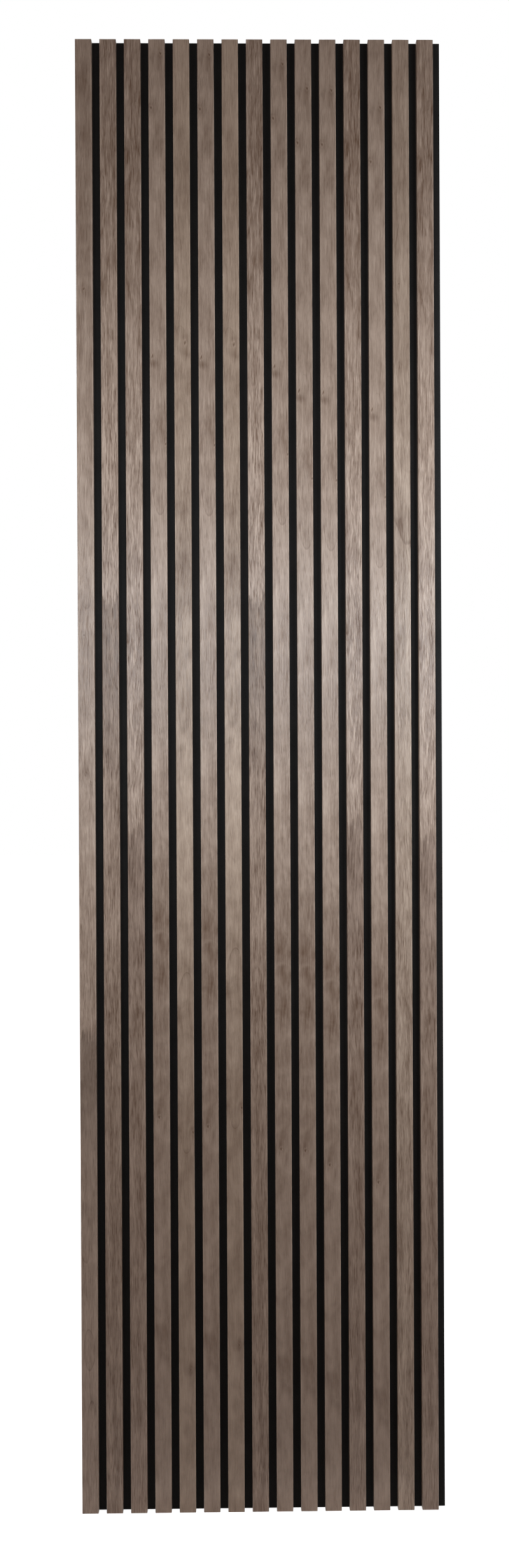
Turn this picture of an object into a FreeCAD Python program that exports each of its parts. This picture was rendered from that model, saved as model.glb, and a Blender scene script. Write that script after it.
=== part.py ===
import FreeCAD, Part
import math
import os
import Sketcher

# Acoustic slat wall panel: upright veneered slats stapled from behind to a felt backing board.
# The origin is the centre of the felt's back face. X runs across the slats, +Y points into the
# wall and +Z runs up the slats, so the visible side faces -Y and the first slat is at -X.

DRIVING_SIZES = {
    # Slats, from one side of the panel to the other
    "slat_count": 15,
    "slat_width": 27,
    "slat_gap": 13,
    "slat_depth": 12,
    "slat_length": 2420,
    # Veneer folded over the core's bevelled front edges
    "veneer_thickness": 0.6,
    "veneer_fold_radius": 1,
    "core_bevel": 0.4,
    # Felt board, which stands past the last slat to carry the joint with the next panel
    "felt_thickness": 9,
    "joint_clearance": 1,
    # Staples driven from the back, in level rows, one to each slat in a row
    "staple_rows": 6,
    "staple_end_margin": 60,
    "staple_crown": 11,
    "wire_width": 1.2,
    "wire_thickness": 0.6,
    "staple_sink": 0.3,
    "staple_bite": 5,
}

# Sizes that follow from the driving ones, as expressions on the sheet
SLAT_PITCH = "(Dimensions.slat_width + Dimensions.slat_gap)"
FELT_WIDTH = f"(Dimensions.slat_count * {SLAT_PITCH} - Dimensions.joint_clearance)"
FIRST_SLAT = f"((Dimensions.slat_width - {FELT_WIDTH}) / 2)"
SLATS_SPAN = f"((Dimensions.slat_count - 1) * {SLAT_PITCH})"
SLAT_BACK = "(-Dimensions.felt_thickness)"
SLAT_FRONT = f"({SLAT_BACK} - Dimensions.slat_depth)"
SLAT_SIDE = "(Dimensions.slat_width / 2)"
CORE_FRONT = f"({SLAT_FRONT} + Dimensions.veneer_thickness)"
CORE_SIDE = f"({SLAT_SIDE} - Dimensions.veneer_thickness)"
STAPLE_SIDE = "(Dimensions.staple_crown / 2)"
LEG_SIDE = f"({STAPLE_SIDE} - Dimensions.wire_thickness)"
CROWN_BACK = "(-Dimensions.staple_sink)"
CROWN_FRONT = f"({CROWN_BACK} - Dimensions.wire_thickness)"
LEG_TIP = f"({SLAT_BACK} - Dimensions.staple_bite)"
FIRST_ROW = "(Dimensions.staple_end_margin - Dimensions.slat_length / 2)"
ROWS_SPAN = f"(-2 * {FIRST_ROW})"

VOLUME_TOLERANCE = 1e-6
START_INDEX, END_INDEX = 1, 2

document = FreeCAD.newDocument("AcousticSlatPanel")
dimensions = document.addObject("Spreadsheet::Sheet", "Dimensions")


def fill_sheet():
    for row, (name, size) in enumerate(DRIVING_SIZES.items(), start=1):
        dimensions.set(f"A{row}", name)
        dimensions.set(f"B{row}", str(size))
        dimensions.setAlias(f"B{row}", name)
    document.recompute()


def size_of(expression):
    return float(dimensions.evalExpression(expression))


def new_body(name):
    body = document.addObject("PartDesign::Body", name)
    body.Label = name
    return body


def origin_feature(body, role):
    return next(item for item in body.Origin.OriginFeatures if item.Role == role)


def constrain(sketch, constraint, name, expression):
    index = sketch.addConstraint(constraint)
    sketch.renameConstraint(index, name)
    sketch.setExpression(f"Constraints.{name}", expression)


def round_corner(sketch, index, following, corner, runs, radius, expression):
    """Joins two sides with an arc that runs smoothly into both."""
    before, after = runs[index], runs[following]
    turns_left = before.cross(after).z > 0
    spokes = (-after, before) if turns_left else (before, -after)
    angles = [math.atan2(spoke.y, spoke.x) for spoke in spokes]
    circle = Part.Circle(corner + (after - before) * radius, FreeCAD.Vector(0, 0, 1), radius)
    arc = sketch.addGeometry(Part.ArcOfCircle(circle, *angles), False)
    near, far = (START_INDEX, END_INDEX) if turns_left else (END_INDEX, START_INDEX)
    sketch.addConstraint(Sketcher.Constraint("Tangent", index, END_INDEX, arc, near))
    sketch.addConstraint(Sketcher.Constraint("Tangent", arc, far, following, START_INDEX))
    constrain(sketch, Sketcher.Constraint("Radius", arc, radius), f"round_{index}", expression)


def bevel_corner(sketch, index, following, corner, runs, size, expression):
    """Joins two sides with a straight bevel that takes the same length off both."""
    before, after = runs[index], runs[following]
    line = sketch.addGeometry(Part.LineSegment(corner - before * size, corner + after * size), False)
    sketch.addConstraint(Sketcher.Constraint("Coincident", index, END_INDEX, line, START_INDEX))
    sketch.addConstraint(Sketcher.Constraint("Coincident", line, END_INDEX, following, START_INDEX))
    step = before + after
    for axis, sign in (("X", step.x), ("Y", step.y)):
        leg = Sketcher.Constraint(f"Distance{axis}", line, START_INDEX, line, END_INDEX, sign * size)
        constrain(sketch, leg, f"bevel_{axis}_{index}", f"{sign:g} * {expression}")


def section_sketch(body, name, sides, easing=None):
    """Closed section across the slats, of alternate upright sides at x and level sides at y.

    easing gives, by a side's index, how the corner that ends it is eased: the function and the size.
    """
    easing = easing or {}
    count = len(sides)
    sketch = body.newObject("Sketcher::SketchObject", name)
    sketch.AttachmentSupport = [(origin_feature(body, "XY_Plane"), "")]
    sketch.MapMode = "FlatFace"

    places = [size_of(expression) for _, expression in sides]
    corners = []
    for index, (kind, _) in enumerate(sides):
        pair = (places[index], places[(index + 1) % count])
        x, y = pair if kind == "x" else reversed(pair)
        corners.append(FreeCAD.Vector(x, y, 0))
    runs = [(corners[index] - corners[index - 1]).normalize() for index in range(count)]
    taken = [size_of(easing[index][1]) if index in easing else 0.0 for index in range(count)]

    for index, (kind, _) in enumerate(sides):
        start = corners[index - 1] + runs[index] * taken[index - 1]
        end = corners[index] - runs[index] * taken[index]
        sketch.addGeometry(Part.LineSegment(start, end), False)
        sketch.addConstraint(Sketcher.Constraint("Vertical" if kind == "x" else "Horizontal", index))

    for index in range(count):
        following = (index + 1) % count
        if index in easing:
            ease, expression = easing[index]
            ease(sketch, index, following, corners[index], runs, taken[index], expression)
        else:
            joint = Sketcher.Constraint("Coincident", index, END_INDEX, following, START_INDEX)
            sketch.addConstraint(joint)

    for index, (kind, expression) in enumerate(sides):
        place = Sketcher.Constraint(f"Distance{kind.upper()}", index, START_INDEX, places[index])
        constrain(sketch, place, f"side_{index}", expression)
    return sketch


def extrude(body, kind, sketch, length):
    """Pads or pockets the sketch evenly to both sides of its plane."""
    feature = body.newObject(f"PartDesign::{kind}", kind)
    feature.Profile = sketch
    feature.SideType = "Symmetric"
    feature.setExpression("Length", length)
    document.recompute()
    return feature


def staple_sketch(body, back):
    """Section of a staple in the lowest row, from the given back plane to the tips of its legs."""
    sides = [
        ("x", STAPLE_SIDE),
        ("y", LEG_TIP),
        ("x", LEG_SIDE),
        ("y", CROWN_FRONT),
        ("x", f"-{LEG_SIDE}"),
        ("y", LEG_TIP),
        ("x", f"-{STAPLE_SIDE}"),
        ("y", back),
    ]
    sketch = section_sketch(body, "StapleSection", sides)
    sketch.setExpression("AttachmentOffset.Base.z", FIRST_ROW)
    return sketch


def pattern_rows(body, original, across):
    """Repeats a staple or its slot up the rows and, where asked, across the slats."""
    pattern = body.newObject("PartDesign::LinearPattern", "StapleRows")
    pattern.Originals = [original]
    pattern.Direction = (origin_feature(body, "Z_Axis"), [""])
    pattern.Mode = "Extent"
    pattern.setExpression("Length", ROWS_SPAN)
    pattern.setExpression("Occurrences", "Dimensions.staple_rows")
    if across:
        original.Profile[0].setExpression("AttachmentOffset.Base.x", FIRST_SLAT)
        pattern.Direction2 = (origin_feature(body, "X_Axis"), [""])
        pattern.Mode2 = "Extent"
        pattern.setExpression("Length2", SLATS_SPAN)
        pattern.setExpression("Occurrences2", "Dimensions.slat_count")
    body.Tip = pattern
    document.recompute()
    return pattern


def staple_count(across):
    return int(dimensions.staple_rows) * (int(dimensions.slat_count) if across else 1)


def cut_staple_slots(body, blank, slot_area, across):
    """Cuts the slots that the staples fill, and makes sure that every one of them was cut."""
    pocket = extrude(body, "Pocket", staple_sketch(body, "0"), "Dimensions.wire_width")
    pattern = pattern_rows(body, pocket, across)
    expected = staple_count(across) * slot_area * float(dimensions.wire_width)
    cut = blank.Shape.Volume - pattern.Shape.Volume
    if abs(cut - expected) > VOLUME_TOLERANCE * blank.Shape.Volume:
        raise RuntimeError(f"{body.Label}: staple slots take {cut:.3f}, not {expected:.3f} mm3")


def make_felt_backing():
    body = new_body("felt_backing")
    sides = [
        ("x", f"{FELT_WIDTH} / 2"),
        ("y", SLAT_BACK),
        ("x", f"-{FELT_WIDTH} / 2"),
        ("y", "0"),
    ]
    board = extrude(body, "Pad", section_sketch(body, "BoardSection", sides), "Dimensions.slat_length")
    bridge = size_of(f"2 * {LEG_SIDE} * ({CROWN_FRONT} - {SLAT_BACK})")
    slot_area = size_of("Dimensions.staple_crown * Dimensions.felt_thickness") - bridge
    cut_staple_slots(body, board, slot_area, across=True)
    return body


def place_on_slat(body, index):
    body.setExpression("Placement.Base.x", f"{FIRST_SLAT} + {index} * {SLAT_PITCH}")


def make_slat_core(index):
    body = new_body(f"slat_core_{index + 1:02d}")
    sides = [
        ("x", CORE_SIDE),
        ("y", CORE_FRONT),
        ("x", f"-{CORE_SIDE}"),
        ("y", SLAT_BACK),
    ]
    bevel = (bevel_corner, "Dimensions.core_bevel")
    sketch = section_sketch(body, "CoreSection", sides, {0: bevel, 1: bevel})
    bar = extrude(body, "Pad", sketch, "Dimensions.slat_length")
    slot_area = size_of("2 * Dimensions.wire_thickness * Dimensions.staple_bite")
    cut_staple_slots(body, bar, slot_area, across=False)
    place_on_slat(body, index)
    return body


def make_veneer_wrap(index):
    body = new_body(f"veneer_wrap_{index + 1:02d}")
    sides = [
        ("x", SLAT_SIDE),
        ("y", SLAT_FRONT),
        ("x", f"-{SLAT_SIDE}"),
        ("y", SLAT_BACK),
        ("x", f"-{CORE_SIDE}"),
        ("y", CORE_FRONT),
        ("x", CORE_SIDE),
        ("y", SLAT_BACK),
    ]
    fold = (round_corner, "Dimensions.veneer_fold_radius")
    bevel = (bevel_corner, "Dimensions.core_bevel")
    sketch = section_sketch(body, "VeneerSection", sides, {0: fold, 1: fold, 4: bevel, 5: bevel})
    extrude(body, "Pad", sketch, "Dimensions.slat_length")
    place_on_slat(body, index)
    return body


def make_staples():
    body = new_body("staples")
    body.AllowCompound = True
    sketch = staple_sketch(body, CROWN_BACK)
    staple = extrude(body, "Pad", sketch, "Dimensions.wire_width")
    pattern = pattern_rows(body, staple, across=True)
    if len(pattern.Shape.Solids) != staple_count(across=True):
        raise RuntimeError(f"{len(pattern.Shape.Solids)} staples were made")
    return body


def check_document(parts):
    for item in document.Objects:
        if "Invalid" in item.State or "Error" in item.State:
            raise RuntimeError(f"{item.Label} failed: {item.State}")
    for part in parts:
        if part.Shape.isNull() or not part.Shape.isValid():
            raise RuntimeError(f"{part.Label} has no valid shape")


def write_parts(parts):
    os.makedirs("parts", exist_ok=True)
    for part in parts:
        part.Shape.exportStep(f"parts/{part.Label}.step")


fill_sheet()
panel = [make_felt_backing(), make_staples()]
for slat in range(int(dimensions.slat_count)):
    panel.append(make_slat_core(slat))
    panel.append(make_veneer_wrap(slat))
document.recompute()
check_document(panel)
write_parts(panel)
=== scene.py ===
import math
import random

import bmesh
import bpy
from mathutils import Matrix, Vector


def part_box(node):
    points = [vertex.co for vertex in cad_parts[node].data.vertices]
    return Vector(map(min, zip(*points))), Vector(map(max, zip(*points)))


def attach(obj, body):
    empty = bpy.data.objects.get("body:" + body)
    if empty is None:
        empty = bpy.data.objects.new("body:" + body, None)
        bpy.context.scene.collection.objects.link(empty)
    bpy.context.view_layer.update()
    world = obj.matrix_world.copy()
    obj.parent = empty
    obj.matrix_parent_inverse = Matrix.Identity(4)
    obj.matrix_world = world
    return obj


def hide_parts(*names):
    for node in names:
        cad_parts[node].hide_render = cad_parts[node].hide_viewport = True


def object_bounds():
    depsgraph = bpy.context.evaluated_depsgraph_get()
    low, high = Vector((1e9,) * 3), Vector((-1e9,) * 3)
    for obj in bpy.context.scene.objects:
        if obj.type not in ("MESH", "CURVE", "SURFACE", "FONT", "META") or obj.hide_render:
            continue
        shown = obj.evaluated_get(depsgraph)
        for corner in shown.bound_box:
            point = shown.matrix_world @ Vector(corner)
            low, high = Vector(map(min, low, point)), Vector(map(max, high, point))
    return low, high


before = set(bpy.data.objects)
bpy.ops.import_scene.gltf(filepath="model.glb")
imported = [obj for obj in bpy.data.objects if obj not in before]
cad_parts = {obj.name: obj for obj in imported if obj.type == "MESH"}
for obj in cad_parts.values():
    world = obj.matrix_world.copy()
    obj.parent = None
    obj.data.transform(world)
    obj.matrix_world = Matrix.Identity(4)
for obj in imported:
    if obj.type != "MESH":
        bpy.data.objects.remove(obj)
cad_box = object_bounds()

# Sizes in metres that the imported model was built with
MM = 0.001
SLAT_COUNT = 15
VENEER_THICKNESS = 0.6 * MM
FOLD_RADIUS = 1.0 * MM
CORE_BEVEL = 0.4 * MM
STAPLE_ROWS = 6
STAPLE_END_MARGIN = 60 * MM
STAPLE_CROWN = 11 * MM
WIRE_WIDTH = 1.2 * MM
WIRE_THICKNESS = 0.6 * MM
STAPLE_SINK = 0.3 * MM

# How finely the scene's own meshes are divided
ARC_STEPS = 5
FRONT_STEPS = 4
BAKE_COLUMNS = 7
RINGS_IN_COLUMN = 4
FELT_EDGE_STEPS = 3

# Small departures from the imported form: saw cuts that are nibbled, mostly far less than the
# chatter, room round the staples, and rounded felt edges
SAW_CHATTER = 0.15 * MM
SAW_POWER = 3
SAW_SEED = 20
SLOT_ROOM = 0.1 * MM
FELT_EDGE_RADIUS = 0.6 * MM

# The felt's cells along a row of staples, from one slat's left leg to the next slat's
STAPLE_CELLS = ("leg", "crown", "leg", "whole")

# How near a point counts as on the felt's outline, the turn in radians that makes an edge sharp,
# and the decimals to which two depths count as the same
ON_OUTLINE = 1e-6
SHARP_TURN = 1.0
DEPTH_DIGITS = 7

# A veneer's place in its baked picture: the shown side in columns, the inside in a narrow strip
# beside them, and the two sawn ends below and above that strip
BAKE_SHARE = 0.94
BAKE_MARGIN = 0.03
COLUMN_FILL = 0.95
STRIP_LEFT = 0.955
STRIP_WIDTH = 0.035
STRIP_FOOT = 0.05
STRIP_TALL = 0.90
FOOT_END_AT = 0.004
TOP_END_AT = 0.984
END_TALL = 0.012

# Layers of noise: cycles per metre along each axis (for wood across and along the grain, then the
# sheet), step of the seed, detail, roughness and distortion
LAYERS = {
    "fingers": ((250, 3, 1), 2.6, 2.0, 0.9, 0.0),
    "wander": ((14, 7, 1), 3.1, 1.0, 0.5, 0.0),
    "clouds": ((36, 15, 1), 5.3, 3.0, 0.5, 0.3),
    "smoke": ((52, 30, 1), 6.6, 3.0, 0.55, 0.4),
    "bands": ((130, 3.5, 1), 7.9, 2.0, 0.55, 0.0),
    "fibre": ((540, 28, 1), 9.2, 4.0, 0.75, 0.0),
    "pores": ((620, 42, 1), 12.4, 2.0, 0.6, 0.0),
    "flecks": ((600, 30, 1), 15.8, 2.0, 0.6, 0.0),
    "drift": ((34, 14, 1), 18.5, 1.0, 0.5, 0.0),
    # the noise that breaks up the painted highlight on the arrises
    "arris_highlight_breakup": ((90, 40, 1), 21.0, 3.0, 0.6, 0.0),
    "fray": ((650, 8, 1), 22.5, 2.0, 0.7, 0.0),
    "felt_mat": ((900, 900, 900), 0.0, 4.0, 0.65, 1.5),
    "felt_strands": ((420, 420, 420), 4.0, 2.0, 0.5, 3.0),
    "felt_patches": ((30, 30, 22), 8.0, 3.0, 0.5, 0.0),
    "board_fibre": ((1500, 3200, 1500), 0.0, 4.0, 0.65, 0.0),
    "board_specks": ((900, 1500, 900), 3.0, 2.0, 0.6, 0.0),
    "board_layers": ((40, 900, 12), 7.0, 2.0, 0.5, 0.0),
    "wire_mottle": ((900, 900, 900), 0.0, 3.0, 0.6, 0.0),
    "wire_drawn": ((160, 6000, 6000), 2.0, 2.0, 0.5, 0.0),
}

# The middle of a noise field, and one over its usual swing about that middle
NOISE_MIDDLE = 0.5
NOISE_GAIN = 9.0

# Walnut at a middling tone, and how far a dark or a pale spot departs from it
WALNUT = (0.234, 0.162, 0.120)
DARKEST_TONE = 0.25
PALEST_TONE = 1.75
DARK_TINT = (0.345, 0.240, 0.160)
PALE_TINT = (1.655, 1.765, 1.840)

# The noise levels between which a pore or a fleck begins, and how much of a leaf each takes up
PORE_EDGE = (0.52, 0.64)
FLECK_EDGE = (0.52, 0.62)
PORE_SHARE = 0.35

# Height on every sheet about which its smoky figure is strongest, partly real figure and partly painted
# sheen, the distances from there between which it fades, and how much of it is left beyond them
SMOKE_SHEEN_HEIGHT = -0.25
SMOKE_SHEEN_FADE = (0.20, 0.50)
SMOKE_SHEEN_LEFT = 0.60

# Heights between which a leaf's grain goes from as open as at its foot to as open as at its top
GRAIN_FOOT = -0.60
GRAIN_TOP = 0.30

# Height about which the fine grain of every leaf shows painted sparkle, stronger contrast that stands in
# for the sheen, the distances from there between which that fades, and how much stronger it is there
SPARKLE_HEIGHT = 0.08
SPARKLE_FADE = (0.35, 0.80)
SPARKLE_GAIN = 1.40

# Heights between which a leaf's slide goes from that at the foot to that at the top
SLIDE_FOOT = -0.3
SLIDE_TOP = 0.3

# How far, from end to end, noise moves the grain, the marks (across and along) and their edges
WANDER_REACH = 0.010
DRIFT_REACH = (0.008, 0.024)
FRAY_REACH = 0.016

# The joint of two sheets: how long its fingers are, half the width of the seam, the distances
# below it between which the lower sheet's colour fades, what is left of that colour further
# down, and the share of flecks that the lower sheet lacks
FINGER_REACH = 0.110
SEAM_HALF = 0.6 * MM
JOINT_FADE = (0.36, 0.04)
JOINT_LEFT = 0.3
FLECKS_LACKING = 0.5

# The folded arris and its painted highlight: its place across the sheet, the distances from it between
# which the painted highlight fades, how pale the painted highlight is, and the noise levels between which
# it is broken up
ARRIS_AT = 13.3 * MM
ARRIS_HIGHLIGHT_EDGE = (0.5 * MM, 1.1 * MM)
ARRIS_HIGHLIGHT_TONE = 0.55
ARRIS_HIGHLIGHT_BREAKUP_EDGE = (0.25, 0.6)

# The veneer's surface: roughness, shine, and what makes up its height and bump
WOOD = {
    "rough": 0.26, "fibre_rough": 0.20, "pore_rough": 0.14, "shine": 0.32,
    "pore_depth": 0.4, "fleck_height": 0.3, "bump": (0.80, 0.60 * MM),
}

# Marks on the veneer, in shares of their half width and half height
SMUDGE_EDGE = 1.3
KNOT = {
    "eye_edge": (0.2, 0.8), "rim_at": 1.15, "rim_half": 0.5, "rim_share": 0.45,
    "flame_wider": 2.2, "flame_taller": 5, "flame_edge": (0.1, 1.4), "flame_share": 0.40,
    "bend_wider": 3.5, "bend_taller": 6, "bend_edge": 1.6, "bend_share": 1.6,
}
LINE = {
    "outer_edge": (1.0, 1.05), "glow_edge": (0.50, 1.0), "glow_share": 0.35,
    "core_edge": (0.90, 1.0), "core_share": 0.65,
    "upper_kept": (-0.5, 0.3), "lower_kept": (-0.3, 0.5),
}

# Each leaf is one sheet of sliced veneer. Its seed picks the part of the noise that it shows, its
# tint is against the walnut's colour, and cloud to flecks say how strongly each layer shows. Open
# is how strong the fine grain is at the foot and at the top. A joint is the height where another
# sheet goes on below, and below_joint is that sheet's colour against this one's. Its marks are
# kind, across in mm, height in m, half width in mm, half height in mm, and strength (below zero
# is darker).
LEAVES = {
    "cathedral": {
        "seed": 2.3, "tint": (1.00, 1.00, 1.00),
        "cloud": 0.12, "smoke": 0.10, "bands": 0.08, "fibre": 0.18, "pores": 0.25, "flecks": 0.28,
        "open": (0.90, 0.60), "joint": -0.424, "below_joint": (0.64, 0.62, 0.61),
        "marks": [
            ("smudge", 0, 1.00, 40, 300, -0.34),
            ("smudge", 8, 0.60, 8, 260, -0.14),
            ("smudge", 0, -0.25, 40, 190, 0.18),
            ("knot", -1, 0.800, 2.0, 2.6, -0.45),
            ("knot", -4, 0.240, 2.0, 2.6, -0.45),
            ("lower_arc", 0, 0.300, 9, 24, -0.24),
            ("smudge", 0, -0.05, 40, 110, 0.22),
            ("smudge", 1, 0.019, 9, 22, -0.30),
            ("knot", -2, 0.004, 1.8, 2.4, -0.45),
            ("knot", 6, -0.002, 1.8, 2.4, -0.45),
            ("upper_arc", 0, -0.020, 10, 30, -0.16),
            ("smudge", -3, -0.480, 7, 34, -0.24),
            ("smudge", 0, -0.95, 40, 330, 0.12),
            ("ring", -1, -0.944, 8, 34, -0.40),
            ("ring", -3, -0.948, 4, 20, -0.22),
            ("lower_arc", -6, -0.760, 8, 40, -0.32),
            ("upper_arc", 4, -1.075, 8, 46, -0.30),
        ],
    },
    "coarse_high_joint": {
        "seed": 11.7, "tint": (1.005, 0.997, 0.995),
        "cloud": 0.11, "smoke": 0.06, "bands": 0.13, "fibre": 0.20, "pores": 0.34, "flecks": 0.46,
        "open": (0.93, 0.93), "joint": 0.288, "below_joint": (0.63, 0.585, 0.54),
        "marks": [
            ("smudge", 0, 1.05, 40, 300, -0.30),
            ("smudge", -8, 1.07, 9, 90, 0.22),
            ("smudge", 9, 1.00, 8, 220, -0.10),
            ("smudge", 0, 0.45, 40, 220, 0.18),
            ("smudge", 0, -0.20, 40, 200, 0.12),
            ("smudge", 0, -0.85, 40, 320, -0.06),
        ],
    },
    "coarse_low_joint": {
        "seed": 23.9, "tint": (1.005, 0.997, 0.995),
        "cloud": 0.12, "smoke": 0.06, "bands": 0.13, "fibre": 0.20, "pores": 0.34, "flecks": 0.46,
        "open": (0.85, 0.85), "joint": -0.092, "below_joint": (0.70, 0.67, 0.66),
        "marks": [
            ("smudge", 0, 1.02, 40, 280, -0.26),
            ("smudge", -9, 1.00, 9, 170, 0.16),
            ("smudge", 0, 0.50, 40, 170, 0.12),
            ("smudge", 0, 0.06, 40, 200, 0.14),
            ("smudge", 2, 0.60, 12, 90, -0.10),
            ("smudge", 0, -0.20, 40, 130, 0.20),
            ("smudge", 0, -0.60, 40, 260, -0.08),
        ],
    },
    "cloudy": {
        "seed": 37.1, "tint": (1.00, 1.00, 1.00),
        "cloud": 0.11, "smoke": 0.15, "bands": 0.06, "fibre": 0.09, "pores": 0.11, "flecks": 0.11,
        "open": (0.70, 1.30), "joint": None, "below_joint": None,
        "marks": [
            ("knot", 6, 1.190, 2.4, 3.2, -0.50),
            ("smudge", 0, 1.115, 14, 24, 0.22),
            ("smudge", 4, 1.045, 14, 42, -0.36),
            ("smudge", -2, 0.965, 14, 36, 0.26),
            ("knot", -9, 1.097, 2.2, 3.0, -0.50),
            ("knot", -9.5, 0.695, 2.4, 3.4, -0.55),
            ("smudge", -6, 0.684, 9, 10, -0.36),
            ("upper_arc", 0, 0.697, 8, 20, -0.18),
            ("knot", 11, 0.545, 2.2, 2.8, -0.50),
            ("lower_arc", 2, 0.480, 11.5, 48, -0.34),
            ("smudge", 0, 0.290, 40, 80, 0.08),
            ("smudge", 3, 0.480, 12, 44, -0.06),
            ("smudge", -6, 0.020, 9, 34, 0.36),
            ("smudge", 6, -0.080, 9, 36, 0.18),
            ("smudge", 0, -0.240, 24, 110, -0.38),
            ("smudge", 4, -0.330, 10, 26, -0.22),
            ("smudge", -2, -0.545, 9, 18, -0.30),
            ("knot", -3, -0.562, 2.4, 3.2, -0.50),
            ("upper_arc", -2, -0.580, 7, 20, -0.18),
            ("smudge", 3, -0.80, 8, 80, -0.10),
            ("smudge", 0, -0.72, 40, 360, -0.15),
        ],
    },
    "olive": {
        "seed": 51.3, "tint": (1.008, 1.002, 0.965),
        "cloud": 0.10, "smoke": 0.13, "bands": 0.06, "fibre": 0.09, "pores": 0.10, "flecks": 0.10,
        "open": (0.77, 1.35), "joint": None, "below_joint": None,
        "marks": [
            ("smudge", 8, 1.075, 9, 36, 0.24),
            ("smudge", -8, 1.040, 8, 42, -0.18),
            ("smudge", 0, 0.985, 16, 62, -0.26),
            ("knot", 5, 0.7126, 2.8, 3.8, -0.60),
            ("upper_arc", -2, 0.715, 10, 22, -0.18),
            ("smudge", 6, 0.693, 10, 12, -0.34),
            ("smudge", -1, 0.435, 15, 20, -0.26),
            ("smudge", 0, 0.36, 40, 120, -0.28),
            ("smudge", 0, -0.12, 40, 230, 0.40),
            ("smudge", 0, -0.62, 40, 170, -0.10),
            ("upper_arc", 1, -0.350, 10, 30, -0.32),
            ("smudge", 1, -0.365, 9, 34, 0.12),
            ("knot", 12, -0.581, 1.8, 2.4, -0.50),
            ("lower_arc", 0, -0.600, 8, 18, -0.28),
            ("smudge", 0, -0.620, 9, 14, -0.24),
            ("knot", 6.5, -0.972, 2.0, 2.6, -0.45),
            ("smudge", 5, -0.972, 9, 16, -0.20),
            ("smudge", -2, -1.071, 9, 15, -0.26),
        ],
    },
    "stripy": {
        "seed": 67.7, "tint": (1.00, 1.005, 0.985),
        "cloud": 0.10, "smoke": 0.07, "bands": 0.13, "fibre": 0.17, "pores": 0.27, "flecks": 0.30,
        "open": (1.10, 0.66), "joint": None, "below_joint": None,
        "marks": [
            ("knot", -5, 0.810, 1.8, 2.4, -0.50),
            ("knot", -4, 0.678, 1.8, 2.4, -0.50),
            ("smudge", 2, 0.424, 17, 26, -0.26),
            ("lower_arc", 16, 0.450, 30, 66, -0.30),
            ("lower_arc", 16, 0.560, 26, 60, -0.20),
            ("smudge", 0, 0.98, 40, 160, -0.10),
            ("smudge", 0, -0.08, 40, 260, 0.22),
        ],
    },
}

# Slat by slat from the left: its leaf, how far the leaf has slid down at the top and at the foot
# (leaves cut one after another carry the same figure a little further along), and its tone
SLATS = [
    ("cathedral", 0.000, 0.000, 1.09),
    ("coarse_high_joint", 0.000, 0.000, 0.97),
    ("coarse_low_joint", 0.000, 0.000, 0.96),
    ("cloudy", 0.000, 0.000, 1.00),
    ("olive", 0.000, 0.000, 1.02),
    ("cloudy", 0.002, 0.016, 0.99),
    ("olive", 0.003, -0.040, 1.02),
    ("coarse_high_joint", -0.001, -0.001, 0.94),
    ("cloudy", 0.017, 0.054, 1.00),
    ("cloudy", 0.057, 0.057, 1.00),
    ("cloudy", 0.060, 0.081, 1.04),
    ("coarse_low_joint", -0.013, -0.013, 0.95),
    ("cloudy", 0.088, 0.110, 1.08),
    ("stripy", 0.000, 0.000, 1.04),
    ("coarse_low_joint", 0.013, 0.013, 1.04),
]

# The felt, the bare fibreboard and the staples' wire: their darkest and palest colours, the tones
# that these stand for, and how each layer shows in tone, roughness, height and bump
FELT = {
    "dark": (0.0063, 0.0059, 0.0056), "pale": (0.0365, 0.0336, 0.0314), "tone_span": (0.2, 1.8),
    "tone": 0.25, "mat_tone": 0.9, "strand_tone": 0.55, "patch_least": 0.75, "patch_tone": 0.5,
    "strand_edge": (0.004, 0.022), "punches": 310.0, "punch_edge": (0.05, 0.40),
    "rough": 0.84, "mat_rough": 0.14, "shine": 0.06,
    "mat_height": 0.6, "strand_height": 0.35, "punch_height": 0.5, "bump": (0.6, 0.35 * MM),
}
BOARD = {
    "dark": (0.150, 0.095, 0.058), "pale": (0.420, 0.295, 0.190), "tone_span": (0.15, 1.05),
    "fibre_tone": 0.7, "layer_tone": 0.5, "speck_tone": -0.35, "speck_edge": (0.56, 0.70),
    "rough": 0.72, "fibre_rough": 0.2, "shine": 0.25, "bump": (0.5, 0.12 * MM),
}
WIRE = {
    "dark": (0.40, 0.405, 0.41), "pale": (0.72, 0.725, 0.73), "tone_span": (0.4, 1.1),
    "drawn_tone": 0.5, "rough": 0.20, "tone_rough": 0.25, "bump": (0.25, 0.03 * MM),
}

# The photograph's camera, fitted to the panel's edges in the 800 by 2466 frame
CAMERA_PLACE = (-0.0413, -2.3210, -0.0022)
CAMERA_TURN = (89.7743, 0.2671, -0.7566)
CAMERA_LENS = 32.133
CAMERA_SENSOR = 36.0
CAMERA_REACH = 100.0

# A warm fill from all around, and softboxes that are not seen themselves: name, place, target,
# width and height in metres, power in watts, and tint
WHITE = (1, 1, 1)
FILL_LEVEL = 0.205
FILL_TINT = (1.27, 1.00, 0.84)
STRIP_TINT = (0.865, 1.00, 1.12)
SOFTBOXES = [
    ("left_strip", (-0.34, -0.85, 0.31), (-0.34, 0.0, 0.29), 0.84, 0.34, 6.6, STRIP_TINT),
    ("right_strip", (0.86, -0.85, 0.31), (0.45, 0.0, 0.29), 0.60, 0.34, 14.5, STRIP_TINT),
    ("foot_strip", (0.0, -0.075, -1.195), (0.0, 0.0, -1.195), 0.60, 0.02, 0.025, WHITE),
    ("behind", (-1.2, 2.6, 1.2), (0.0, 0.0, 0.0), 1.60, 1.60, 45.0, WHITE),
]

# The floor: its paint, how white it shows to the camera by itself, its size, and how far it lies
# below the panel
FLOOR_PAINT = (0.90, 0.90, 0.90)
FLOOR_SHOWN = 0.86
FLOOR_HALF = 20.0
FLOOR_DROP = 0.1 * MM


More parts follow.
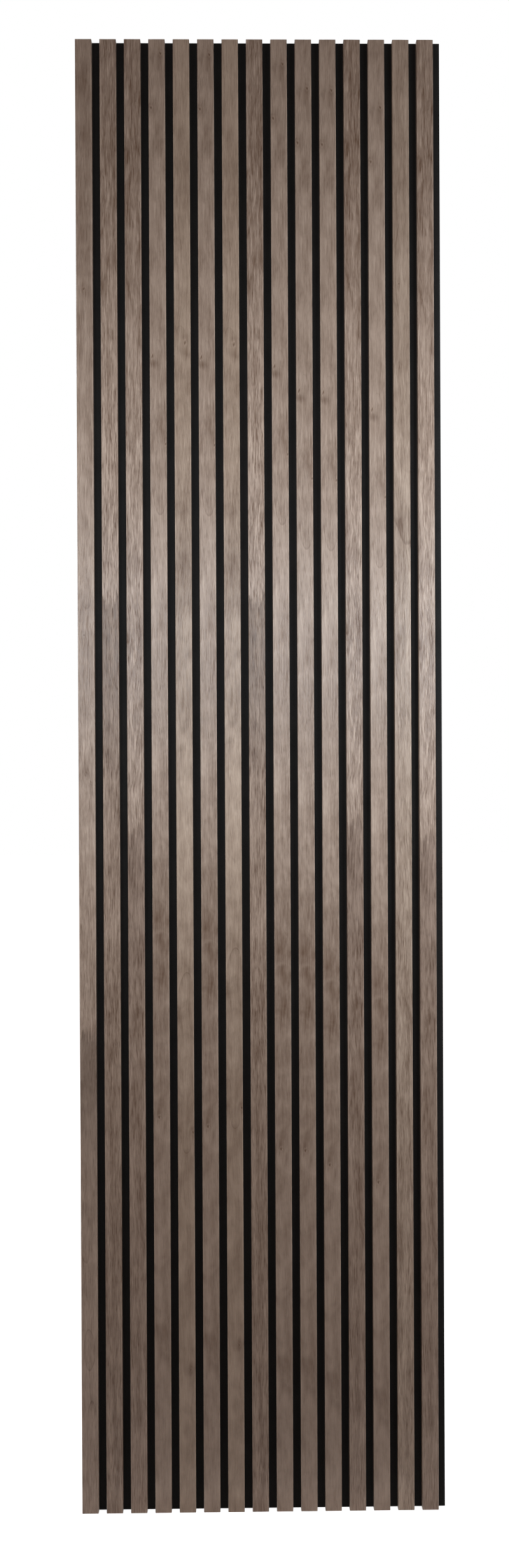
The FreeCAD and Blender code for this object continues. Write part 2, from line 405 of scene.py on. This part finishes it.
def add_node(tree, kind, inputs=None, **settings):
    """Adds a shader node, sets its properties, and links or sets the inputs named."""
    made = tree.nodes.new(kind)
    for name, value in settings.items():
        setattr(made, name, value)
    for name, value in (inputs or {}).items():
        socket = made.inputs[name]
        if isinstance(value, bpy.types.NodeSocket):
            tree.links.new(value, socket)
        else:
            socket.default_value = value
    return made


def calc(tree, operation, first, second=0.0):
    return add_node(tree, "ShaderNodeMath", {0: first, 1: second}, operation=operation).outputs[0]


def scaled_sum(tree, value, factor, base):
    """value times factor plus base."""
    inputs = {0: value, 1: factor, 2: base}
    return add_node(tree, "ShaderNodeMath", inputs, operation="MULTIPLY_ADD").outputs[0]


def distance_from(tree, value, middle):
    """How far the value is from the middle, on either side."""
    return calc(tree, "ABSOLUTE", calc(tree, "SUBTRACT", value, middle))


def smooth_step(tree, value, low, high, start=0.0, end=1.0, kind="SMOOTHSTEP"):
    """start below low, end above high, and from one to the other in between."""
    inputs = {"Value": value, "From Min": low, "From Max": high, "To Min": start, "To Max": end}
    return add_node(tree, "ShaderNodeMapRange", inputs, interpolation_type=kind).outputs[0]


def noise_node(tree, point, layer, seed=0.0):
    """A layer's noise over the point, from the part of the noise that the seed picks."""
    scale, seed_step, detail, roughness, distortion = LAYERS[layer]
    place = {"Vector": point, "Scale": scale, "Location": (0, 0, seed + seed_step)}
    inputs = {
        "Vector": add_node(tree, "ShaderNodeMapping", place).outputs[0],
        "Scale": 1.0,
        "Detail": detail,
        "Roughness": roughness,
        "Distortion": distortion,
    }
    return add_node(tree, "ShaderNodeTexNoise", inputs)


def noise(tree, point, layer, seed=0.0):
    return noise_node(tree, point, layer, seed).outputs[0]


def swing(tree, field, amount, middle=0.0):
    """A noise field as a change of tone that is usually about the amount, up or down."""
    return scaled_sum(tree, field, NOISE_GAIN * amount, middle - NOISE_GAIN * amount / 2)


def centred(tree, field, reach):
    """A noise field as a move to either side, the reach from end to end."""
    return scaled_sum(tree, field, reach, -reach / 2)


def mixed_colour(tree, share, dark, pale):
    inputs = {0: share, 6: (*dark, 1), 7: (*pale, 1)}
    return add_node(tree, "ShaderNodeMix", inputs, data_type="RGBA").outputs[2]


def new_material(name):
    """An empty material with a Principled shader. Returns the material, its tree and the shader."""
    material = bpy.data.materials.new(name)
    material.use_nodes = True
    tree = material.node_tree
    tree.nodes.clear()
    shader = add_node(tree, "ShaderNodeBsdfPrincipled")
    output = add_node(tree, "ShaderNodeOutputMaterial")
    tree.links.new(shader.outputs[0], output.inputs["Surface"])
    return material, tree, shader


def connect_bump(tree, shader, height, strength, distance):
    bump = add_node(tree, "ShaderNodeBump", {"Height": height, "Strength": strength, "Distance": distance})
    tree.links.new(bump.outputs[0], shader.inputs["Normal"])


def leaf_point(tree, slide_top, slide_foot):
    """Where a spot of the slat lies on its sheet of veneer: across and along, in metres."""
    lay = add_node(tree, "ShaderNodeUVMap", uv_map="grain_lay").outputs[0]
    across, height = add_node(tree, "ShaderNodeSeparateXYZ", {0: lay}).outputs[:2]
    slide = smooth_step(tree, height, SLIDE_FOOT, SLIDE_TOP, slide_foot, slide_top)
    return across, calc(tree, "ADD", height, slide)


def drifted_point(tree, point, seed):
    """The point moved about a little, so that marks wander and aren't drawn too evenly."""
    field = noise_node(tree, point, "drift", seed).outputs["Color"]
    reach_across, reach_along = DRIFT_REACH
    move = {
        "Vector": field,
        "Scale": (reach_across, reach_along, 0),
        "Location": (-reach_across / 2, -reach_along / 2, 0),
    }
    drift = add_node(tree, "ShaderNodeMapping", move).outputs[0]
    return add_node(tree, "ShaderNodeVectorMath", {0: point, 1: drift}, operation="ADD").outputs[0]


def frayed_point(tree, point, seed):
    """The point moved up or down fibre by fibre, so that the edge of a mark frays."""
    fray = centred(tree, noise(tree, point, "fray", seed), FRAY_REACH)
    shift = add_node(tree, "ShaderNodeCombineXYZ", {1: fray}).outputs[0]
    return add_node(tree, "ShaderNodeVectorMath", {0: point, 1: shift}, operation="ADD").outputs[0]


def mark_distance(tree, point, mark, wider=1, taller=1):
    """Distance from a mark's middle, 1 on its edge, and the scaled offset from that middle."""
    across, height, half_width, half_height = mark[1:5]
    scale = (1 / (half_width * wider * MM), 1 / (half_height * taller * MM), 0)
    place = (-across * MM * scale[0], -height * scale[1], 0)
    inputs = {"Vector": point, "Location": place, "Scale": scale}
    offset = add_node(tree, "ShaderNodeMapping", inputs).outputs[0]
    distance = add_node(tree, "ShaderNodeVectorMath", {0: offset}, operation="LENGTH")
    return distance.outputs["Value"], offset


def smudge_shade(tree, point, mark):
    """A soft patch that is strongest in its middle."""
    distance = mark_distance(tree, point, mark)[0]
    return smooth_step(tree, distance, 0.0, SMUDGE_EDGE, mark[-1], 0.0)


def knot_shade(tree, point, mark):
    """A dark eye with a paler rim, in a fainter flame along the grain."""
    strength = mark[-1]
    distance = mark_distance(tree, point, mark)[0]
    eye = smooth_step(tree, distance, *KNOT["eye_edge"], strength, 0.0)
    from_rim = distance_from(tree, distance, KNOT["rim_at"])
    rim = smooth_step(tree, from_rim, 0.0, KNOT["rim_half"], -KNOT["rim_share"] * strength, 0.0)
    spread = mark_distance(tree, point, mark, KNOT["flame_wider"], KNOT["flame_taller"])[0]
    flame = smooth_step(tree, spread, *KNOT["flame_edge"], strength * KNOT["flame_share"], 0.0)
    return calc(tree, "ADD", calc(tree, "ADD", eye, rim), flame)


def line_shade(tree, point, mark):
    """A growth line, sharp outside and fading inwards: a whole ring, or its upper or lower arc."""
    kind = mark[0]
    distance, offset = mark_distance(tree, point, mark)
    outer_edge = smooth_step(tree, distance, *LINE["outer_edge"], mark[-1], 0.0)
    glow = smooth_step(tree, distance, *LINE["glow_edge"], 0.0, LINE["glow_share"])
    core = smooth_step(tree, distance, *LINE["core_edge"], 0.0, LINE["core_share"])
    line = calc(tree, "MULTIPLY", outer_edge, calc(tree, "ADD", glow, core))
    if kind == "ring":
        return line
    upright = add_node(tree, "ShaderNodeSeparateXYZ", {0: offset}).outputs[1]
    if kind == "upper_arc":
        kept = smooth_step(tree, upright, *LINE["upper_kept"])
    else:
        kept = smooth_step(tree, upright, *LINE["lower_kept"], 1.0, 0.0)
    return calc(tree, "MULTIPLY", line, kept)


def knot_push(tree, point, mark):
    """How far a knot bends the grain aside, in metres."""
    distance, offset = mark_distance(tree, point, mark, KNOT["bend_wider"], KNOT["bend_taller"])
    sideways = add_node(tree, "ShaderNodeSeparateXYZ", {0: offset}).outputs[0]
    half_width = mark[3]
    near = smooth_step(tree, distance, 0.0, KNOT["bend_edge"], -half_width * KNOT["bend_share"] * MM, 0.0)
    return calc(tree, "MULTIPLY", sideways, near)


def below_joint(tree, leaf, point, along):
    """1 on the sheet below the joint of two sheets, 0 above. Their ends meet in ragged fingers."""
    joint = leaf["joint"]
    if joint is None:
        return 0.0
    fingers = centred(tree, noise(tree, point, "fingers", leaf["seed"]), FINGER_REACH)
    edge = calc(tree, "ADD", along, fingers)
    return smooth_step(tree, edge, joint - SEAM_HALF, joint + SEAM_HALF, 1.0, 0.0)


def bent_grain(tree, leaf, point, across, along, lower_sheet):
    """The grain's own coordinates: it wanders, bends round knots, and changes at the joint."""
    wander = centred(tree, noise(tree, point, "wander", leaf["seed"]), WANDER_REACH)
    bent = calc(tree, "ADD", across, wander)
    for mark in leaf["marks"]:
        if mark[0] == "knot":
            bent = calc(tree, "ADD", bent, knot_push(tree, point, mark))
    return add_node(tree, "ShaderNodeCombineXYZ", {0: bent, 1: along, 2: lower_sheet}).outputs[0]


def fine_layers(tree, leaf, grain, lower_sheet):
    """The leaf's fibre, dark pores and pale flecks. A sheet below a joint has fewer flecks."""
    seed = leaf["seed"]
    fibre = noise(tree, grain, "fibre", seed)
    pores = smooth_step(tree, noise(tree, grain, "pores", seed), *PORE_EDGE)
    flecks = smooth_step(tree, noise(tree, grain, "flecks", seed), *FLECK_EDGE)
    if leaf["joint"] is not None:
        flecks = calc(tree, "MULTIPLY", flecks, scaled_sum(tree, lower_sheet, -FLECKS_LACKING, 1.0))
    return fibre, pores, flecks


def figure_shade(tree, leaf, grain, along, tone):
    """The slat's tone with the leaf's clouds, smoke and growth bands; the smoke is stronger about one
    height, partly as painted sheen.
    """
    seed = leaf["seed"]
    clouds = swing(tree, noise(tree, grain, "clouds", seed), leaf["cloud"], tone)
    smoke = swing(tree, noise(tree, grain, "smoke", seed), leaf["smoke"])
    bands = swing(tree, noise(tree, grain, "bands", seed), leaf["bands"])
    # the smoke's strength by height: real figure, strengthened about one height as painted sheen
    from_smoke_sheen = distance_from(tree, along, SMOKE_SHEEN_HEIGHT)
    smoke_and_sheen = smooth_step(tree, from_smoke_sheen, *SMOKE_SHEEN_FADE, 1.0, SMOKE_SHEEN_LEFT)
    shade = calc(tree, "ADD", clouds, calc(tree, "MULTIPLY", smoke, smoke_and_sheen))
    return calc(tree, "ADD", shade, bands)


def fine_shade(tree, leaf, along, fibre, pores, flecks):
    """What fibre, pores and flecks add to the tone, by how open the grain is at that height, with painted
    sparkle about one height.
    """
    fine = swing(tree, fibre, leaf["fibre"], PORE_SHARE * leaf["pores"] - PORE_SHARE * leaf["flecks"])
    fine = scaled_sum(tree, pores, -leaf["pores"], fine)
    fine = scaled_sum(tree, flecks, leaf["flecks"], fine)
    openness = smooth_step(tree, along, GRAIN_FOOT, GRAIN_TOP, *leaf["open"])
    # painted sparkle: the fine grain's contrast raised about one height, standing in for the sheen
    from_sparkle = distance_from(tree, along, SPARKLE_HEIGHT)
    painted_sparkle = smooth_step(tree, from_sparkle, *SPARKLE_FADE, SPARKLE_GAIN, 1.0)
    return calc(tree, "MULTIPLY", fine, calc(tree, "MULTIPLY", openness, painted_sparkle))


def add_marks(tree, leaf, point, shade):
    """The tone with all of the leaf's marks."""
    drifted = drifted_point(tree, point, leaf["seed"])
    frayed = frayed_point(tree, drifted, leaf["seed"])
    for mark in leaf["marks"]:
        if mark[0] == "smudge":
            change = smudge_shade(tree, frayed, mark)
        elif mark[0] == "knot":
            change = knot_shade(tree, frayed, mark)
        else:
            change = line_shade(tree, drifted, mark)
        shade = calc(tree, "ADD", shade, change)
    return shade


def arris_painted_highlight(tree, leaf, point, across):
    """How much paler the folded arrises are: a painted highlight along them, broken up in patches by
    noise.
    """
    from_arris = distance_from(tree, calc(tree, "ABSOLUTE", across), ARRIS_AT)
    painted_highlight = smooth_step(tree, from_arris, *ARRIS_HIGHLIGHT_EDGE, ARRIS_HIGHLIGHT_TONE, 0.0)
    arris_highlight_breakup = smooth_step(tree, noise(tree, point, "arris_highlight_breakup", leaf["seed"]), *ARRIS_HIGHLIGHT_BREAKUP_EDGE)
    return calc(tree, "MULTIPLY", painted_highlight, arris_highlight_breakup)


def veneer_colour(tree, leaf, shade, along, lower_sheet):
    """The tone as a colour between the leaf's darkest and palest, and the lower sheet's tint."""
    dark = [wood * depth * tint for wood, depth, tint in zip(WALNUT, DARK_TINT, leaf["tint"])]
    pale = [wood * depth * tint for wood, depth, tint in zip(WALNUT, PALE_TINT, leaf["tint"])]
    share = smooth_step(tree, shade, DARKEST_TONE, PALEST_TONE, kind="LINEAR")
    colour = mixed_colour(tree, share, dark, pale)
    joint = leaf["joint"]
    if joint is None:
        return colour
    fade_low, fade_high = JOINT_FADE
    fading = smooth_step(tree, along, joint - fade_low, joint - fade_high, JOINT_LEFT, 1.0)
    tinted = calc(tree, "MULTIPLY", lower_sheet, fading)
    inputs = {0: tinted, 6: colour, 7: (*leaf["below_joint"], 1)}
    mix = add_node(tree, "ShaderNodeMix", inputs, data_type="RGBA", blend_type="MULTIPLY")
    return mix.outputs[2]


def veneer_material(name, leaf, slide_top, slide_foot, tone):
    """Grey-brown walnut: clouds, growth bands, fibres, pores, knots and the leaf's joint."""
    material, tree, shader = new_material(name)
    across, along = leaf_point(tree, slide_top, slide_foot)
    point = add_node(tree, "ShaderNodeCombineXYZ", {0: across, 1: along}).outputs[0]
    lower_sheet = below_joint(tree, leaf, point, along)
    grain = bent_grain(tree, leaf, point, across, along, lower_sheet)
    fibre, pores, flecks = fine_layers(tree, leaf, grain, lower_sheet)

    shade = figure_shade(tree, leaf, grain, along, tone)
    shade = calc(tree, "ADD", shade, fine_shade(tree, leaf, along, fibre, pores, flecks))
    shade = add_marks(tree, leaf, point, shade)
    # painted highlight along the folded arrises
    shade = calc(tree, "ADD", shade, arris_painted_highlight(tree, leaf, point, across))
    colour = veneer_colour(tree, leaf, shade, along, lower_sheet)
    tree.links.new(colour, shader.inputs["Base Color"])

    rough = scaled_sum(tree, fibre, WOOD["fibre_rough"], WOOD["rough"])
    rough = scaled_sum(tree, pores, WOOD["pore_rough"], rough)
    tree.links.new(rough, shader.inputs["Roughness"])
    shader.inputs["Specular IOR Level"].default_value = WOOD["shine"]
    height = scaled_sum(tree, pores, -WOOD["pore_depth"], fibre)
    height = scaled_sum(tree, flecks, WOOD["fleck_height"], height)
    connect_bump(tree, shader, height, *WOOD["bump"])
    return material


def felt_material():
    """Black polyester felt: matted fibres, a few paler ones, and needle-punched dimples."""
    material, tree, shader = new_material("felt_black")
    place = add_node(tree, "ShaderNodeTexCoord").outputs["Object"]
    matted = noise(tree, place, "felt_mat")
    strand_field = noise(tree, place, "felt_strands")
    from_strand = distance_from(tree, strand_field, NOISE_MIDDLE)
    strands = smooth_step(tree, from_strand, *FELT["strand_edge"], 1.0, 0.0)
    patches = noise(tree, place, "felt_patches")
    punched = add_node(tree, "ShaderNodeTexVoronoi", {"Vector": place, "Scale": FELT["punches"]})
    dimples = smooth_step(tree, punched.outputs["Distance"], *FELT["punch_edge"])

    tone = scaled_sum(tree, matted, FELT["mat_tone"], FELT["tone"])
    tone = scaled_sum(tree, strands, FELT["strand_tone"], tone)
    tone = calc(tree, "MULTIPLY", tone, scaled_sum(tree, patches, FELT["patch_tone"], FELT["patch_least"]))
    colour = mixed_colour(tree, smooth_step(tree, tone, *FELT["tone_span"]), FELT["dark"], FELT["pale"])
    tree.links.new(colour, shader.inputs["Base Color"])
    rough = scaled_sum(tree, matted, FELT["mat_rough"], FELT["rough"])
    tree.links.new(rough, shader.inputs["Roughness"])
    shader.inputs["Specular IOR Level"].default_value = FELT["shine"]
    height = scaled_sum(tree, matted, FELT["mat_height"], 0.0)
    height = scaled_sum(tree, strands, FELT["strand_height"], height)
    height = scaled_sum(tree, dimples, FELT["punch_height"], height)
    connect_bump(tree, shader, height, *FELT["bump"])
    return material


def fibreboard_material():
    """Raw fibreboard as sawn ends show it: fine pressed fibre in thin layers, with dark specks."""
    material, tree, shader = new_material("fibreboard_raw")
    place = add_node(tree, "ShaderNodeTexCoord").outputs["Object"]
    fibre = noise(tree, place, "board_fibre")
    specks = smooth_step(tree, noise(tree, place, "board_specks"), *BOARD["speck_edge"])
    layers = noise(tree, place, "board_layers")
    tone = scaled_sum(tree, fibre, BOARD["fibre_tone"], 0.0)
    tone = scaled_sum(tree, layers, BOARD["layer_tone"], tone)
    tone = scaled_sum(tree, specks, BOARD["speck_tone"], tone)
    colour = mixed_colour(tree, smooth_step(tree, tone, *BOARD["tone_span"]), BOARD["dark"], BOARD["pale"])
    tree.links.new(colour, shader.inputs["Base Color"])
    rough = scaled_sum(tree, fibre, BOARD["fibre_rough"], BOARD["rough"])
    tree.links.new(rough, shader.inputs["Roughness"])
    shader.inputs["Specular IOR Level"].default_value = BOARD["shine"]
    connect_bump(tree, shader, calc(tree, "SUBTRACT", fibre, specks), *BOARD["bump"])
    return material


def staple_material():
    """Galvanised steel wire: faint zinc mottling and drawing scratches along the crown."""
    material, tree, shader = new_material("wire_galvanised")
    place = add_node(tree, "ShaderNodeTexCoord").outputs["Object"]
    mottle = noise(tree, place, "wire_mottle")
    drawn = noise(tree, place, "wire_drawn")
    tone = scaled_sum(tree, drawn, WIRE["drawn_tone"], mottle)
    colour = mixed_colour(tree, smooth_step(tree, tone, *WIRE["tone_span"]), WIRE["dark"], WIRE["pale"])
    tree.links.new(colour, shader.inputs["Base Color"])
    rough = scaled_sum(tree, tone, WIRE["tone_rough"], WIRE["rough"])
    tree.links.new(rough, shader.inputs["Roughness"])
    shader.inputs["Metallic"].default_value = 1.0
    connect_bump(tree, shader, drawn, *WIRE["bump"])
    return material


def finish_mesh(mesh, name, material):
    """Turns a finished mesh into an object of the scene."""
    data = bpy.data.meshes.new(name)
    mesh.to_mesh(data)
    mesh.free()
    data.materials.append(material)
    piece = bpy.data.objects.new(name, data)
    bpy.context.scene.collection.objects.link(piece)
    return piece


def veneer_section(low, high):
    """The wrap's section from its left back edge round the front, then back along the inside.

    Each point is x, y and the distance across the unfolded sheet from its middle."""
    middle = (low.x + high.x) / 2
    half = (high.x - low.x) / 2
    flat_half = half - FOLD_RADIUS
    arc_length = FOLD_RADIUS * math.pi / 2
    flank = high.y - low.y - FOLD_RADIUS
    left_side = [(-half, high.y, -(flat_half + arc_length + flank))]
    for step in range(ARC_STEPS + 1):
        turn = math.pi / 2 * step / ARC_STEPS
        x = -flat_half - FOLD_RADIUS * math.cos(turn)
        y = low.y + FOLD_RADIUS - FOLD_RADIUS * math.sin(turn)
        left_side.append((x, y, -flat_half - arc_length * (1 - step / ARC_STEPS)))
    outside = list(left_side)
    for step in range(1, FRONT_STEPS):
        x = flat_half * (2 * step / FRONT_STEPS - 1)
        outside.append((x, low.y, x))
    outside += [(-x, y, -across) for x, y, across in reversed(left_side)]

    inner = half - VENEER_THICKNESS
    inner_front = low.y + VENEER_THICKNESS
    right_inside = [
        (inner, high.y, outside[-1][2]),
        (inner, inner_front + CORE_BEVEL, flat_half + arc_length),
        (inner - CORE_BEVEL, inner_front, flat_half),
    ]
    inside = right_inside + [(-x, y, -across) for x, y, across in reversed(right_inside)]
    points = [(middle + x, y, across) for x, y, across in outside + inside]
    return points, len(outside)


def veneer_rings(mesh, section, outside_count, ring_count, low, high, chance):
    """Rings of points up the wrap. Its two ends are nibbled a little by the saw."""
    rings = []
    for ring in range(ring_count + 1):
        z = low.z + (high.z - low.z) * ring / ring_count
        inward = 1 if ring == 0 else -1
        at_end = ring in (0, ring_count)
        verts = []
        for index, (x, y, across) in enumerate(section):
            nibble = 0.0
            if at_end and 0 < index < outside_count - 1:
                nibble = chance.random() ** SAW_POWER * SAW_CHATTER
            verts.append(mesh.verts.new((x, y, z + inward * nibble)))
        rings.append(verts)
    return rings


def bake_corner(across, along, column, section_width, low, high):
    """Folds the long strip into columns side by side, so a baked picture keeps its detail."""
    pitch = BAKE_SHARE / BAKE_COLUMNS
    column_length = (high.z - low.z) / BAKE_COLUMNS
    sideways = pitch * (column + 0.5) + across * COLUMN_FILL * pitch / section_width
    upright = (along - low.z - column * column_length) / column_length
    return sideways, BAKE_MARGIN + BAKE_SHARE * upright


def veneer_piece(number, material, chance):
    """One veneer wrap with rounded arrises, saw-cut ends and its unfolded grain coordinates."""
    node = f"veneer_wrap_{number:02d}"
    low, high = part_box(node)
    section, outside_count = veneer_section(low, high)
    section_width = 2 * section[outside_count - 1][2]
    ring_count = BAKE_COLUMNS * RINGS_IN_COLUMN
    mesh = bmesh.new()
    lay_map = mesh.loops.layers.uv.new("grain_lay")
    bake_map = mesh.loops.layers.uv.new("OFBake")
    rings = veneer_rings(mesh, section, outside_count, ring_count, low, high, chance)

    count = len(section)
    right_arc = outside_count - 2 - ARC_STEPS
    for ring in range(ring_count):
        column = ring // RINGS_IN_COLUMN
        for index in range(count):
            after = (index + 1) % count
            corners = [(ring, index), (ring, after), (ring + 1, after), (ring + 1, index)]
            face = mesh.faces.new([rings[r][i] for r, i in corners])
            face.smooth = 1 <= index <= ARC_STEPS or right_arc <= index < right_arc + ARC_STEPS
            shown = index < outside_count - 1
            for loop, (r, i) in zip(face.loops, corners):
                across = section[i][2]
                along = low.z + (high.z - low.z) * r / ring_count
                loop[lay_map].uv = (across, along)
                if shown:
                    loop[bake_map].uv = bake_corner(across, along, column, section_width, low, high)
                else:
                    inside_share = (i - outside_count + 1) / (count - outside_count + 1)
                    strip = STRIP_LEFT + STRIP_WIDTH * inside_share
                    loop[bake_map].uv = (strip, STRIP_FOOT + STRIP_TALL * r / ring_count)
    for ring, end_at in ((0, FOOT_END_AT), (ring_count, TOP_END_AT)):
        order = list(range(count))
        if ring == 0:
            order.reverse()
        face = mesh.faces.new([rings[ring][i] for i in order])
        for loop, i in zip(face.loops, order):
            x, y, across = section[i]
            loop[lay_map].uv = (across, rings[ring][i].co.z)
            side = (x - low.x) / (high.x - low.x)
            depth = (y - low.y) / (high.y - low.y)
            loop[bake_map].uv = (STRIP_LEFT + STRIP_WIDTH * side, end_at + END_TALL * depth)
    bmesh.ops.recalc_face_normals(mesh, faces=mesh.faces)
    piece = finish_mesh(mesh, f"veneer_{number:02d}", material)
    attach(piece, "root")
    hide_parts(node)


def felt_lines(low, high):
    """The grid lines of the felt's faces: its edges and the edges of the staples' slots."""
    across = [low.x, high.x]
    for number in range(1, SLAT_COUNT + 1):
        slat_low, slat_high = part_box(f"slat_core_{number:02d}")
        middle = (slat_low.x + slat_high.x) / 2
        for side in (-1, 1):
            across.append(middle + side * (STAPLE_CROWN / 2 + SLOT_ROOM))
            across.append(middle + side * (STAPLE_CROWN / 2 - WIRE_THICKNESS - SLOT_ROOM))
    upright = [low.z, high.z]
    span = high.z - low.z - 2 * STAPLE_END_MARGIN
    for row in range(STAPLE_ROWS):
        middle = low.z + STAPLE_END_MARGIN + span * row / (STAPLE_ROWS - 1)
        for side in (-1, 1):
            upright.append(middle + side * (WIRE_WIDTH / 2 + SLOT_ROOM))
    return sorted(across), sorted(upright)


def felt_cell(column, row):
    """What a cell of the felt's grid is: whole felt, the slot of a crown, or a leg's hole."""
    if row % 2 == 0 or column == 0:
        return "whole"
    return STAPLE_CELLS[(column - 1) % len(STAPLE_CELLS)]


def felt_grid(mesh, low, high):
    """The felt's faces cell by cell, with the walls where neighbouring cells differ in depth."""
    across, upright = felt_lines(low, high)
    slot_floor = high.y - STAPLE_SINK - WIRE_THICKNESS - SLOT_ROOM
    depths = {"whole": [low.y, slot_floor, high.y], "crown": [low.y, slot_floor], "leg": [low.y]}
    points = {}

    def point(column, row, y):
        key = (column, row, round(y, DEPTH_DIGITS))
        if key not in points:
            points[key] = mesh.verts.new((across[column], y, upright[row]))
        return points[key]

    def wall(first, second, tall, short):
        """The upright faces between two neighbouring cells, down to the shallower one."""
        for near, far in zip(tall[len(short) - 1:], tall[len(short):]):
            ring = [(*first, near), (*second, near), (*second, far), (*first, far)]
            mesh.faces.new([point(*corner) for corner in ring])

    columns = len(across) - 1
    rows = len(upright) - 1
    for column in range(columns):
        for row in range(rows):
            here = depths[felt_cell(column, row)]
            corners = [(column, row), (column + 1, row), (column + 1, row + 1), (column, row + 1)]
            if len(here) > 1:
                mesh.faces.new([point(*corner, low.y) for corner in corners])
                mesh.faces.new([point(*corner, here[-1]) for corner in reversed(corners)])
            right = depths[felt_cell(column + 1, row)] if column + 1 < columns else [low.y]
            above = depths[felt_cell(column, row + 1)] if row + 1 < rows else [low.y]
            for other, line in ((right, corners[1:3]), (above, corners[2:4])):
                tall, short = (here, other) if len(here) >= len(other) else (other, here)
                wall(*line, tall, short)
            if column == 0:
                wall(corners[0], corners[3], here, [low.y])
            if row == 0:
                wall(corners[0], corners[1], here, [low.y])
    bmesh.ops.recalc_face_normals(mesh, faces=mesh.faces)


def round_outline(mesh, low, high):
    """Rounds the sharp edges along the felt's outline and leaves those of the slots."""
    def on_outline(vert, axis):
        return min(abs(vert.co[axis] - low[axis]), abs(vert.co[axis] - high[axis])) < ON_OUTLINE

    rounded = []
    for edge in mesh.edges:
        axes = [axis for axis in range(3) if all(on_outline(vert, axis) for vert in edge.verts)]
        if len(axes) >= 2 and len(edge.link_faces) == 2 and edge.calc_face_angle(0) > SHARP_TURN:
            rounded.append(edge)
    bmesh.ops.bevel(
        mesh, geom=rounded, offset=FELT_EDGE_RADIUS, segments=FELT_EDGE_STEPS, profile=0.5, affect="EDGES")


def felt_piece(material):
    """The felt board with its staple slots and softly rounded edges."""
    low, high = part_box("felt_backing")
    mesh = bmesh.new()
    felt_grid(mesh, low, high)
    round_outline(mesh, low, high)
    piece = finish_mesh(mesh, "felt_board", material)
    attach(piece, "root")
    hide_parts("felt_backing")


def dress_node(name, material):
    """Gives a CAD node a better material and leaves its mesh as packed."""
    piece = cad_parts[name]
    for slot in piece.material_slots:
        slot.link = "OBJECT"
        slot.material = material


def backdrop_rays(tree):
    """1 for rays that show the backdrop itself, 0 for rays that only carry light."""
    path = add_node(tree, "ShaderNodeLightPath")
    seen = calc(tree, "MAXIMUM", path.outputs["Is Camera Ray"], path.outputs["Is Glossy Ray"])
    return calc(tree, "MAXIMUM", seen, path.outputs["Is Transmission Ray"])


def make_world():
    """White where it is seen, and a dim even fill for everything it lights."""
    world = bpy.data.worlds.new("studio")
    bpy.context.scene.world = world
    world.use_nodes = True
    tree = world.node_tree
    tree.nodes.clear()
    fill = add_node(tree, "ShaderNodeBackground", {"Color": (*FILL_TINT, 1), "Strength": FILL_LEVEL})
    white = add_node(tree, "ShaderNodeBackground", {"Color": (*WHITE, 1), "Strength": 1.0})
    inputs = {0: backdrop_rays(tree), 1: fill.outputs[0], 2: white.outputs[0]}
    either = add_node(tree, "ShaderNodeMixShader", inputs)
    output = add_node(tree, "ShaderNodeOutputWorld")
    tree.links.new(either.outputs[0], output.inputs["Surface"])


def make_floor():
    """A plain white floor that runs out to the white backdrop and keeps the panel's shadow."""
    material = bpy.data.materials.new("floor_white")
    material.use_nodes = True
    tree = material.node_tree
    tree.nodes.clear()
    paint = add_node(tree, "ShaderNodeBsdfDiffuse", {"Color": (*FLOOR_PAINT, 1)})
    shown = scaled_sum(tree, backdrop_rays(tree), FLOOR_SHOWN, 0.0)
    glow = add_node(tree, "ShaderNodeEmission", {"Color": (*WHITE, 1), "Strength": shown})
    both = add_node(tree, "ShaderNodeAddShader", {0: paint.outputs[0], 1: glow.outputs[0]})
    output = add_node(tree, "ShaderNodeOutputMaterial")
    tree.links.new(both.outputs[0], output.inputs["Surface"])

    height = cad_box[0][2] - FLOOR_DROP
    mesh = bmesh.new()
    corners = [(-1, -1), (1, -1), (1, 1), (-1, 1)]
    mesh.faces.new([mesh.verts.new((x * FLOOR_HALF, y * FLOOR_HALF, height)) for x, y in corners])
    floor = finish_mesh(mesh, "floor", material)


def add_softbox(name, place, target, width, tall, power, tint):
    """A rectangular softbox that lights the panel and isn't seen itself."""
    data = bpy.data.lights.new(name, "AREA")
    data.shape = "RECTANGLE"
    data.size = width
    data.size_y = tall
    data.energy = power
    data.color = tint
    lamp = bpy.data.objects.new(name, data)
    lamp.location = place
    lamp.rotation_euler = (Vector(target) - Vector(place)).to_track_quat("-Z", "Y").to_euler()
    lamp.visible_camera = False
    bpy.context.scene.collection.objects.link(lamp)


def make_camera():
    data = bpy.data.cameras.new("photo_camera")
    data.lens = CAMERA_LENS
    data.sensor_width = CAMERA_SENSOR
    data.clip_end = CAMERA_REACH
    camera = bpy.data.objects.new("photo_camera", data)
    camera.location = CAMERA_PLACE
    camera.rotation_euler = [math.radians(angle) for angle in CAMERA_TURN]
    bpy.context.scene.collection.objects.link(camera)
    bpy.context.scene.camera = camera


def main():
    bpy.context.scene.view_settings.view_transform = "Standard"
    chance = random.Random(SAW_SEED)
    for number, (leaf, slide_top, slide_foot, tone) in enumerate(SLATS, start=1):
        material = veneer_material(f"walnut_{number:02d}", LEAVES[leaf], slide_top, slide_foot, tone)
        veneer_piece(number, material, chance)
    felt_piece(felt_material())
    fibreboard = fibreboard_material()
    for number in range(1, SLAT_COUNT + 1):
        dress_node(f"slat_core_{number:02d}", fibreboard)
    dress_node("staples", staple_material())
    make_world()
    make_floor()
    for softbox in SOFTBOXES:
        add_softbox(*softbox)
    make_camera()


main()
